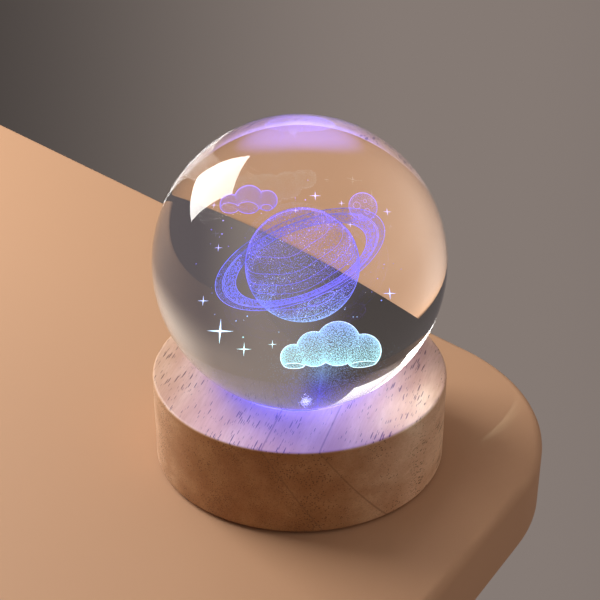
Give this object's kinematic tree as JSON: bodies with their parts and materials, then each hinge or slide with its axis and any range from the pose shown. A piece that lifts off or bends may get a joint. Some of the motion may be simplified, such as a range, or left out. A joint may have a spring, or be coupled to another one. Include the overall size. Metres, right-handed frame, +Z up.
{
  "type": "led night lamp",
  "caption": "Rechargeable night lamp: a loose engraved glass ball seated on a round turned wooden base, lit from below, with a push button and a charging inlet in the rear wall.",
  "frame": {"origin": "on the table, under the ball's centre", "axes": "+Z up, +Y towards the rear wall with the charging inlet, front is -Y"},
  "size_m": [0.083, 0.083, 0.1004],
  "materials": {
    "wood": "pale fine-grained solid wood, sanded, thin clear oil",
    "glass": "polished clear optical glass",
    "engraving": "fine white dots inside the glass, lit violet-blue from below",
    "window": "clear moulded window",
    "led": "white package with a clear well, lit violet-blue",
    "board": "white solder mask",
    "chip": "black moulding",
    "resistor": "black film with tinned ends",
    "capacitor": "tan ceramic with tinned ends",
    "nickel": "satin nickel",
    "switch": "black moulding",
    "plunger": "grey moulding",
    "button": "cream satin moulding",
    "connector": "cream nylon",
    "cell": "dull foil pouch",
    "foam": "white foam tape",
    "wire_red": "red insulation",
    "wire_black": "black insulation",
    "cover": "black fine-grained moulding",
    "screw": "zinc plated steel",
    "foot": "soft dark rubber"
  },
  "bodies": {
    "base": {"wooden_base": "wood", "led_window": "window", "main_board": "board", "rgb_led_1": "led", "rgb_led_2": "led", "rgb_led_3": "led", "control_chip": "chip", "charge_chip": "chip", "resistor_1": "resistor", "resistor_2": "resistor", "resistor_3": "resistor", "capacitor_1": "capacitor", "capacitor_2": "capacitor", "usb_shell": "nickel", "usb_tongue": "chip", "switch_housing": "switch", "battery_cell": "cell", "battery_foam_pad": "foam", "battery_header": "connector", "battery_plug": "connector", "battery_wire_red": "wire_red", "battery_wire_black": "wire_black", "bottom_cover": "cover", "cover_screw_1": "screw", "cover_screw_2": "screw", "cover_screw_3": "screw", "board_screw_1": "screw", "board_screw_2": "screw", "board_screw_3": "screw", "foot_pad_1": "foot", "foot_pad_2": "foot", "foot_pad_3": "foot", "foot_pad_4": "foot"},
    "ball": {"crystal_ball": "glass", "engraved_planet": "engraving", "engraved_ring": "engraving", "engraved_low_cloud": "engraving", "engraved_high_cloud": "engraving", "engraved_moon": "engraving"},
    "button": {"button_cap": "button", "switch_plunger": "plunger"}
  },
  "joints": [
    {"name": "ball_lift", "type": "slide", "parent": "base", "child": "ball", "axis": [0, 0, 1], "range_m": [0, 0.06]},
    {"name": "button_press", "type": "slide", "parent": "base", "child": "button", "axis": [-0.5, -0.866, 0], "range_m": [0, 0.0005], "stiffness_N_per_m": 1500, "springref_m": -0.0006}
  ]
}
